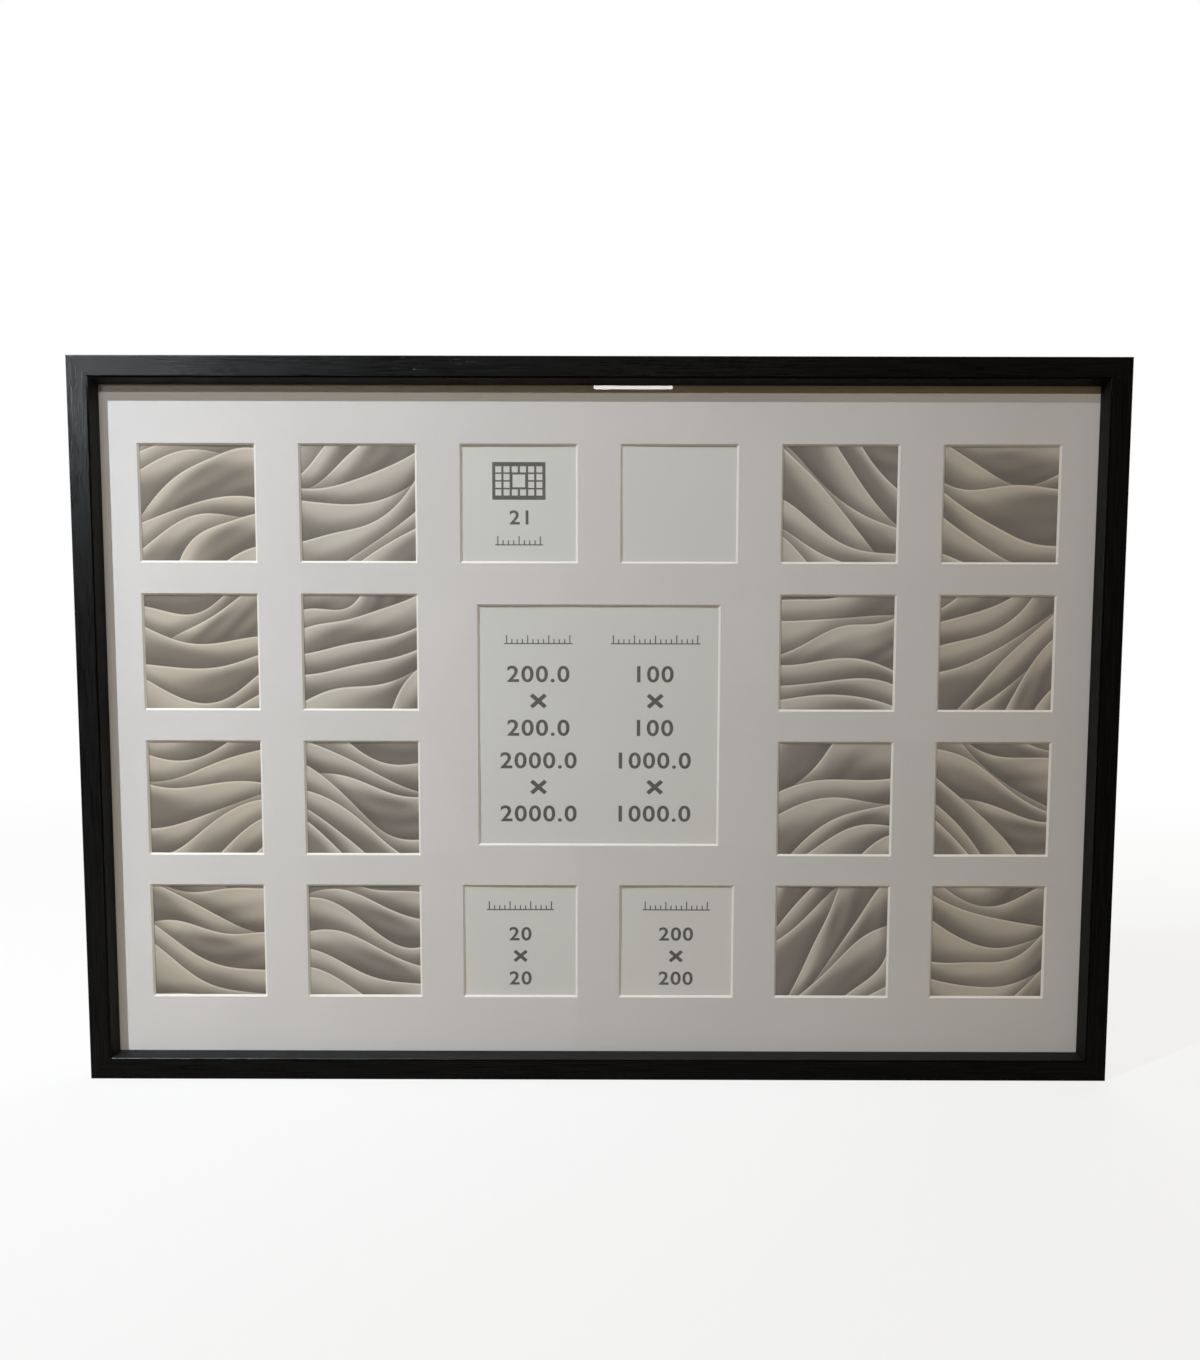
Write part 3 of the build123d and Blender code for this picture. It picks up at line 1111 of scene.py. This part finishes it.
@dataclass(frozen=True)
class LayoutIcon:
    """Small plan of the windows: a dark plate with a gap for each window."""

    width: float = 40 * MM

    def mesh(self, thickness: float) -> Mesh:
        """Build the plan, centred on the origin in the XZ plane.

        Args:
            thickness: Thickness of the ink.

        Returns:
            The plan as a closed mesh.
        """
        scale = self.width / (2 * FRAME.half_width)
        middle = FRAME.half_height
        gaps = [(x * scale, (z - middle) * scale, side * scale / 2) for x, z, side in WINDOWS.openings()]
        across = self.lines([(x, half) for x, _, half in gaps], FRAME.half_width * scale)
        upright = self.lines([(z, half) for _, z, half in gaps], middle * scale)
        cells = []
        for i in range(len(across) - 1):
            for j in range(len(upright) - 1):
                x, z = (across[i] + across[i + 1]) / 2, (upright[j] + upright[j + 1]) / 2
                if not any(max(abs(x - gx), abs(z - gz)) < half for gx, gz, half in gaps):
                    cells.append((i, j))
        # Listed one by one, because an extrude gives the faces in another order at each run
        faces = self.faces(cells)
        corners = sorted({corner for face in faces for corner in face})
        points = [(across[i], (layer - 0.5) * thickness, upright[j]) for i, j, layer in corners]
        mesh = bpy.data.meshes.new("layout_icon")
        mesh.from_pydata(points, [], [[corners.index(corner) for corner in face] for face in faces])
        return mesh

    @staticmethod
    def faces(cells: list[tuple[int, int]]) -> list[list[tuple[int, int, int]]]:
        """Faces of the plate's dark cells: front, back, and a wall where no dark cell lies beyond an edge.

        Args:
            cells: Column and row of each dark cell.

        Returns:
            The faces, each a ring of corners by column, row and layer, with layer 0 in front.
        """
        made = []
        for i, j in cells:
            ring = [(i, j), (i + 1, j), (i + 1, j + 1), (i, j + 1)]
            beyond = ((i, j - 1), (i + 1, j), (i, j + 1), (i - 1, j))
            # Both layers start at the same corner, so that they split along the same diagonal
            made.append([(*corner, 0) for corner in ring])
            made.append([(*corner, 1) for corner in ring[:1] + ring[:0:-1]])
            for start, end, neighbour in zip(ring, ring[1:] + ring[:1], beyond):
                if neighbour not in cells:
                    made.append([(*start, 0), (*start, 1), (*end, 1), (*end, 0)])
        return made

    @staticmethod
    def lines(gaps: list[tuple[float, float]], end: float) -> list[float]:
        """Sorted grid lines of the edges of gaps, given as middle and half side, and the plate's ends."""
        edges = {round(middle + sign * half, 7) for middle, half in gaps for sign in (-1, 1)}
        return sorted(edges | {-end, end})


@dataclass
class CardPrint:
    """Plain numbers, rules and a small plan, printed as thin ink on the waving sheet's cards."""

    sheet: PrintedSheet
    thickness: float = 0.03 * MM
    large: float = 12.0 * MM
    small: float = 10.2 * MM
    widen: float = 1.14
    apart: float = 1.12
    weight: float = 0.018
    cap_share: float = 0.70
    cross_share: float = 1.4
    roundness: int = 5
    main_lines: tuple[float, ...] = tuple(drop * MM for drop in (39.5, 19.0, -1.5, -26.5, -47.0, -67.5))
    main_ticks: float = 63 * MM
    small_lines: tuple[float, ...] = tuple(drop * MM for drop in (5.5, -12.0, -29.5))
    small_ticks: float = 25 * MM
    icon_at: float = 17 * MM
    count_at: float = -10 * MM
    count_ticks: float = -30 * MM
    weld: float = 0.0001 * MM
    ink: Material | None = None

    def number(self, text: str, height: float) -> Mesh:
        """A number as a thin closed mesh, centred on the origin in the XZ plane.

        Args:
            text: Its figures.
            height: Height of a figure.

        Returns:
            The number's mesh.
        """
        curve = bpy.data.curves.new("number", "FONT")
        curve.body = text
        curve.align_x = "CENTER"
        curve.size = height / self.cap_share
        curve.space_character = self.apart
        curve.offset = self.weight * curve.size
        curve.extrude = self.thickness / 2
        curve.resolution_u = self.roundness
        mesh = baked(add_object("number", curve))
        middle = sum((Vector(corner) for corner in self.span(mesh)), Vector()) / 2
        upright = Matrix.Rotation(math.pi / 2, 4, "X") @ Matrix.Diagonal((self.widen, 1, 1, 1))
        mesh.transform(upright @ Matrix.Translation((-middle.x, -middle.y, 0)))
        return mesh

    @staticmethod
    def span(mesh: Mesh) -> tuple[Vector, Vector]:
        """Lowest and highest corner of a mesh."""
        corners = np.array([vertex.co for vertex in mesh.vertices])
        return Vector(corners.min(axis=0)), Vector(corners.max(axis=0))

    def laid(self, mesh: Mesh, x: float, z: float) -> Mesh:
        """Move a flat print to its place, where it follows the sheet's waves.

        Args:
            mesh: The print, in the XZ plane round the origin.
            x: Its middle across the frame.
            z: Its middle up the frame.

        Returns:
            The same mesh.
        """
        mesh.transform(Matrix.Translation((x, 0, z)))
        corners = np.array([vertex.co for vertex in mesh.vertices])
        corners[:, 1] += self.sheet.front(corners[:, 0], corners[:, 2]) - self.thickness / 2
        mesh.vertices.foreach_set("co", corners.astype(np.float32).ravel())
        return mesh

    def stack(self, lines: Iterable[str], x: float, heights: Iterable[float], size: float) -> list[Mesh]:
        """Print numbers one below another.

        Args:
            lines: What each line reads.
            x: Middle of the lines.
            heights: Middle of each line up the frame.
            size: Height of a figure.

        Returns:
            A mesh for each line.
        """
        made = []
        for text, z in zip(lines, heights):
            height = size * self.cross_share if text == "×" else size
            made.append(self.laid(self.number(text, height), x, z))
        return made

    def ticks(self, count: int, x: float, z: float) -> Mesh:
        """A row of ticks at its place on the sheet."""
        return self.laid(TickRow(count).mesh(self.ink, self.thickness), x, z)

    def prints(self) -> list[Mesh]:
        """Print the large card, the two below it and the plan above it.

        Returns:
            A mesh for each line, row of ticks and plan.
        """
        made = []
        middle = FRAME.half_height
        for x, upper, lower, count in ((-46 * MM, "200.0", "2000.0", 13), (43 * MM, "100", "1000.0", 17)):
            lines = (upper, "×", upper, lower, "×", lower)
            made += self.stack(lines, x, [middle + drop for drop in self.main_lines], self.large)
            made.append(self.ticks(count, x, middle + self.main_ticks))
        for column, figure in ((2, "20"), (3, "200")):
            x, z = WINDOWS.middle(column, 0)
            heights = [z + drop for drop in self.small_lines]
            made += self.stack((figure, "×", figure), x, heights, self.small)
            made.append(self.ticks(13, x, z + self.small_ticks))
        x, z = WINDOWS.middle(2, 3)
        made.append(self.laid(LayoutIcon().mesh(self.thickness), x, z + self.icon_at))
        made += self.stack(("21",), x, (z + self.count_at,), self.small)
        made.append(self.ticks(9, x, z + self.count_ticks))
        return made

    def build(self) -> None:
        """Join all the prints into one piece."""
        self.ink = Ink().make()
        joined = bmesh.new()
        for part in self.prints():
            joined.from_mesh(part)
        bmesh.ops.remove_doubles(joined, verts=joined.verts, dist=self.weld)
        mesh = poured(joined, "card_print", (self.ink,))
        mesh.polygons.foreach_set("material_index", [0] * len(mesh.polygons))
        register(add_object("card_print", mesh), ROOT)


@dataclass
class ButtonScrews:
    """Pan head screws with a cross recess, one through each turn button."""

    steel: Material
    head_radius: float = 2.85 * MM
    head_height: float = 1.5 * MM
    shank_radius: float = 1.2 * MM
    thread_pitch: float = 1.25 * MM
    thread_size: float = 0.3 * MM
    tip_length: float = 2.4 * MM
    recess_reach: float = 1.45 * MM
    recess_width: float = 0.62 * MM
    recess_depth: float = 0.85 * MM
    core_share: float = 0.62
    core_tip_share: float = 0.2
    tip_end: float = 0.1 * MM
    thread_share: float = 0.66
    head_sides: int = 28
    core_sides: int = 12
    rod_sides: int = 14
    thread_steps: int = 12
    sharp: float = math.radians(35)
    seed: int = 7

    def build(self) -> None:
        """Grow the screws at the buttons' pivots."""
        low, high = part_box("button_screws")
        seat = high.y - self.head_height
        g = GeometryTree("pan_head_screws", {
            "Head radius": self.head_radius, "Head height": self.head_height, "Length": seat - low.y,
            "Shank radius": self.shank_radius, "Thread pitch": self.thread_pitch, "Seed": self.seed})
        screw = g.join(self.head(g), *self.shank(g))
        spin = g.node("RandomValue", {2: 0.0, 3: math.tau, "Seed": g.given["Seed"]}, data_type="FLOAT")
        turn = g.out("EulerToRotation", {0: g.vector(-math.pi / 2, spin.outputs[1], 0.0)})
        points = g.given["Geometry"]
        placed = g.out("InstanceOnPoints", {"Points": points, "Instance": screw, "Rotation": turn})
        g.end(placed, self.steel)
        pivots = bpy.data.meshes.new("pivots")
        places = [(joint["pos_m"][0], seat, joint["pos_m"][2]) for joint in frame["joints"]]
        pivots.from_pydata(places, [], [])
        mesh = g.grow(pivots)
        mesh.shade_smooth()
        mesh.set_sharp_from_angle(angle=self.sharp)
        register(add_object("cross_recess_screws", mesh), ROOT, "button_screws")

    def head(self, g: GeometryTree) -> Socket:
        """Build the domed head on its flat seat, with the recess cut into it.

        Args:
            g: Tree to build in.

        Returns:
            The head, with its seat at the origin and its top upwards.
        """
        rings = self.head_sides // 2
        ball = g.out("MeshUVSphere", {"Segments": self.head_sides, "Rings": rings, "Radius": 1.0})
        x, y, z = g.axes(g.out("InputPosition"))
        away = g.add(g.mul(x, x), g.mul(y, y))
        dome = g.math("SQRT", g.math("MAXIMUM", g.sub(1.0, g.math("POWER", away, 2.0)), 0.0))
        # The lower half of the ball becomes the flat seat
        above = g.math("GREATER_THAN", z, 0.001)
        radius, height = g.given["Head radius"], g.given["Head height"]
        place = g.vector(g.mul(x, radius), g.mul(y, radius), g.mul(g.mul(dome, above), height))
        domed = g.out("SetPosition", {"Geometry": ball, "Position": place})
        size = (2 * self.recess_reach, self.recess_width, 2 * self.recess_depth)
        wing = g.out("MeshCube", {"Size": size})
        top = g.vector(z=height)
        core = g.out("MeshCone", {"Vertices": self.core_sides, "Depth": 1.5 * self.recess_depth,
                                  "Radius Top": self.core_share * self.recess_reach,
                                  "Radius Bottom": self.core_tip_share * self.recess_width})
        core = g.lifted(core, g.sub(height, 1.3 * self.recess_depth))
        cut = g.node("MeshBoolean", {"Mesh 1": domed}, operation="DIFFERENCE", solver="EXACT")
        for cutter in (g.moved(wing, top), g.moved(wing, top, (0.0, 0.0, math.pi / 2)), core):
            g.tree.links.new(cutter, cut.inputs["Mesh 2"])
        return cut.outputs[0]

    def shank(self, g: GeometryTree) -> list[Socket]:
        """Build what is below the head.

        Args:
            g: Tree to build in.

        Returns:
            The shank, its pointed tip and its thread.
        """
        length, radius = g.given["Length"], g.given["Shank radius"]
        straight = g.sub(length, self.tip_length)
        rod = g.out("MeshCylinder", {"Vertices": self.rod_sides, "Radius": radius, "Depth": straight})
        rod = g.lifted(rod, g.mul(straight, -0.5))
        tip = g.out("MeshCone", {"Vertices": self.rod_sides, "Depth": self.tip_length, "Radius Top": radius,
                                 "Radius Bottom": self.tip_end})
        tip = g.lifted(tip, g.mul(length, -1.0))
        rise = g.mul(length, self.thread_share)
        turns = g.math("DIVIDE", rise, g.given["Thread pitch"])
        spiral = g.out("CurveSpiral", {"Resolution": self.thread_steps, "Rotations": turns, "Height": rise,
                                       "Start Radius": radius, "End Radius": radius})
        ridge = g.out("CurvePrimitiveCircle", {"Resolution": 3, "Radius": self.thread_size})
        thread = g.out("CurveToMesh", {"Curve": spiral, "Profile Curve": ridge, "Fill Caps": True})
        thread = g.lifted(thread, g.sub(0.7 * self.tip_length, length))
        return [rod, tip, thread]


@dataclass
class Hardware:
    """Steel fittings on the back: screws, buttons, hangers and V-nails."""

    edge: float = 0.14 * MM
    segments: int = 2
    sharp: float = math.radians(40)
    flat: float = math.radians(1.0)
    weld: float = 0.001 * MM

    def softened(self, node: str, name: str, body: str, steel: Material) -> None:
        """Make a copy of a packed fitting with its stamped edges rounded, in its place.

        Args:
            node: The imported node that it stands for.
            name: Name of the new piece.
            body: Body that it moves with.
            steel: Material of the piece.
        """
        work = bmesh.new()
        work.from_mesh(frame["nodes"][node].data)
        bmesh.ops.remove_doubles(work, verts=work.verts, dist=self.weld)
        bmesh.ops.dissolve_limit(work, angle_limit=self.flat, verts=work.verts, edges=work.edges)
        holder = add_object(name, poured(work, name, (steel,)))
        bevel = holder.modifiers.new("edges", "BEVEL")
        bevel.width, bevel.segments = self.edge, self.segments
        bevel.limit_method, bevel.angle_limit = "ANGLE", self.sharp
        bevel.use_clamp_overlap = True
        bevel.harden_normals = True
        register(add_object(name, baked(holder)), body, node)

    def build(self) -> None:
        """Make the screws, buttons and hangers, and dress the V-nails."""
        steel = ZincSteel().make()
        ButtonScrews(steel).build()
        for joint in frame["joints"]:
            node = joint["child"]
            self.softened(node, node.replace("turn_button", "steel_button"), node, steel)
        for node in sorted(frame["nodes"]):
            if node.startswith("hanger_"):
                self.softened(node, "saw_tooth_" + node, ROOT, steel)
        dress("corner_nails", steel)


@dataclass
class Lamp:
    """A lamp that points at a place."""

    name: str
    kind: LampKind
    at: Vector
    toward: Vector
    power: float
    size: float
    height: float = 0.0
    color: Color = WHITE
    cone: float = 60.0
    gloss: bool = True

    def build(self) -> None:
        """Add the lamp: a spot with a soft edge, or a panel."""
        data = bpy.data.lights.new(self.name, self.kind.value)
        data.energy, data.color = self.power, self.color
        if self.kind is LampKind.SPOT:
            data.shadow_soft_size = self.size
            data.spot_size, data.spot_blend = math.radians(self.cone), 1.0
        else:
            data.shape = "RECTANGLE"
            data.size, data.size_y = self.size, self.height or self.size
        lamp = add_object(self.name, data)
        lamp.visible_camera = False
        lamp.visible_glossy = self.gloss
        lamp.location = self.at
        lamp.rotation_euler = (self.toward - self.at).to_track_quat("-Z", "Y").to_euler()
        log.info("%s lit", self.name)


@dataclass
class Studio:
    """Pale floor, white surroundings, lamps and the camera at the photograph's place."""

    floor_size: float = 14.0
    fill: Color = (0.145, 0.105, 0.045)
    focal_px: float = 1300.0
    image_height_px: float = 1360.0
    axis_drop_px: float = 70.0
    camera_at: Vector = field(default_factory=lambda: Vector((0.00192, -0.98427, 0.34921)))
    pitch: float = -5.464
    yaw: float = 0.063
    roll: float = -0.125

    def floor(self) -> None:
        """Lay the floor under the frame."""
        half = self.floor_size / 2
        mesh = bpy.data.meshes.new("floor")
        corners = [(-half, -half, 0), (half, -half, 0), (half, half, 0), (-half, half, 0)]
        mesh.from_pydata(corners, [], [(0, 1, 2, 3)])
        mesh.materials.append(StudioFloor().make())
        add_object("floor", mesh)

    def surroundings(self) -> None:
        """White backdrop, and a dim warm fill to matt surfaces."""
        world = bpy.data.worlds.new("surroundings")
        world.use_nodes = True
        g = Graph(world.node_tree)
        fill = g.out("Background", {"Color": dimmed_in_gloss(g, self.fill), "Strength": 1.0})
        white = g.out("Background", {"Color": WHITE, "Strength": 1.0})
        depth = g.axes(g.node("TexCoord").outputs["Generated"])[1]
        mixed = g.out("MixShader", {0: backdrop_share(g, depth), 1: fill, 2: white})
        g.node("OutputWorld", {"Surface": mixed})
        bpy.context.scene.world = world

    def lamps(self) -> None:
        """Light the object: three spots in front, a panel behind, and a bar that the glass mirrors."""
        middle = Vector((0, 0, FRAME.half_height))
        # The key points past the left side, so that it dims to the right, and throws the shadow of
        # this corner of the lip on the mat
        corner = Vector((-0.372, 0, 0.527))
        key_at = corner + 1.5 * Vector((-0.70, -1.0, 1.13))
        # The sheen brings out the grain round the upper left mitre
        mitre = Vector((-FRAME.half_width, FRAME.front, 2 * FRAME.half_height))
        sheen_at = mitre + 1.6 * Vector((-0.40, -1.0, 0.20))
        upper_at = middle + 3.0 * Vector((0.0, -1.0, 0.74)).normalized()
        # The bar stands where the glass mirrors it from this place to the camera
        glint = Vector((0.025, 0.0018, 0.5256))
        sight = glint - self.camera_at
        strip_at = glint + 3.0 / sight.y * Vector((sight.x, -sight.y, sight.z))
        for lamp in (
            Lamp("key_lamp", LampKind.SPOT, key_at, Vector((-1.5, 0, 0.9)), power=430.0, size=0.03,
                 color=(0.86, 0.93, 1.0), cone=100.0),
            Lamp("upper_lamp", LampKind.SPOT, upper_at, middle, power=100.0, size=0.04,
                 color=(1.0, 0.975, 0.94), cone=50.0, gloss=False),
            Lamp("sheen_lamp", LampKind.SPOT, sheen_at, mitre - Vector((0.36, 0, 0)), power=13.0, size=0.03,
                 color=(0.90, 0.95, 1.0), cone=50.0),
            Lamp("back_lamp", LampKind.AREA, Vector((0.8, 1.9, 1.5)), middle, power=34.0, size=2.2),
            Lamp("strip_lamp", LampKind.AREA, strip_at, glint, power=0.17, size=0.235, height=0.014),
        ):
            lamp.build()

    def camera(self) -> None:
        """Set the camera where the photograph was taken from."""
        data = bpy.data.cameras.new("camera")
        data.sensor_width = 36.0
        data.lens = self.focal_px / self.image_height_px * data.sensor_width
        data.shift_y = self.axis_drop_px / self.image_height_px
        data.clip_start, data.clip_end = 0.02, 60.0
        made = add_object("camera", data)
        turn = Matrix.Rotation(math.radians(self.roll), 4, "Y")
        turn = turn @ Matrix.Rotation(math.radians(self.yaw), 4, "Z")
        turn = turn @ Matrix.Rotation(math.radians(90 + self.pitch), 4, "X")
        made.matrix_world = Matrix.Translation(self.camera_at) @ turn
        bpy.context.scene.camera = made

    def build(self) -> None:
        """Set up everything round the object."""
        self.camera()
        self.floor()
        self.surroundings()
        self.lamps()
        bpy.context.scene.view_settings.view_transform = "Standard"


def main() -> None:
    """Build the looks in order."""
    logging.basicConfig(level=logging.INFO, format="%(name)s: %(message)s")
    Studio().build()
    Rails().build()
    Panels().build()
    sheet = PrintedSheet()
    sheet.build()
    CardPrint(sheet).build()
    Hardware().build()


if __name__ == "__main__":
    main()
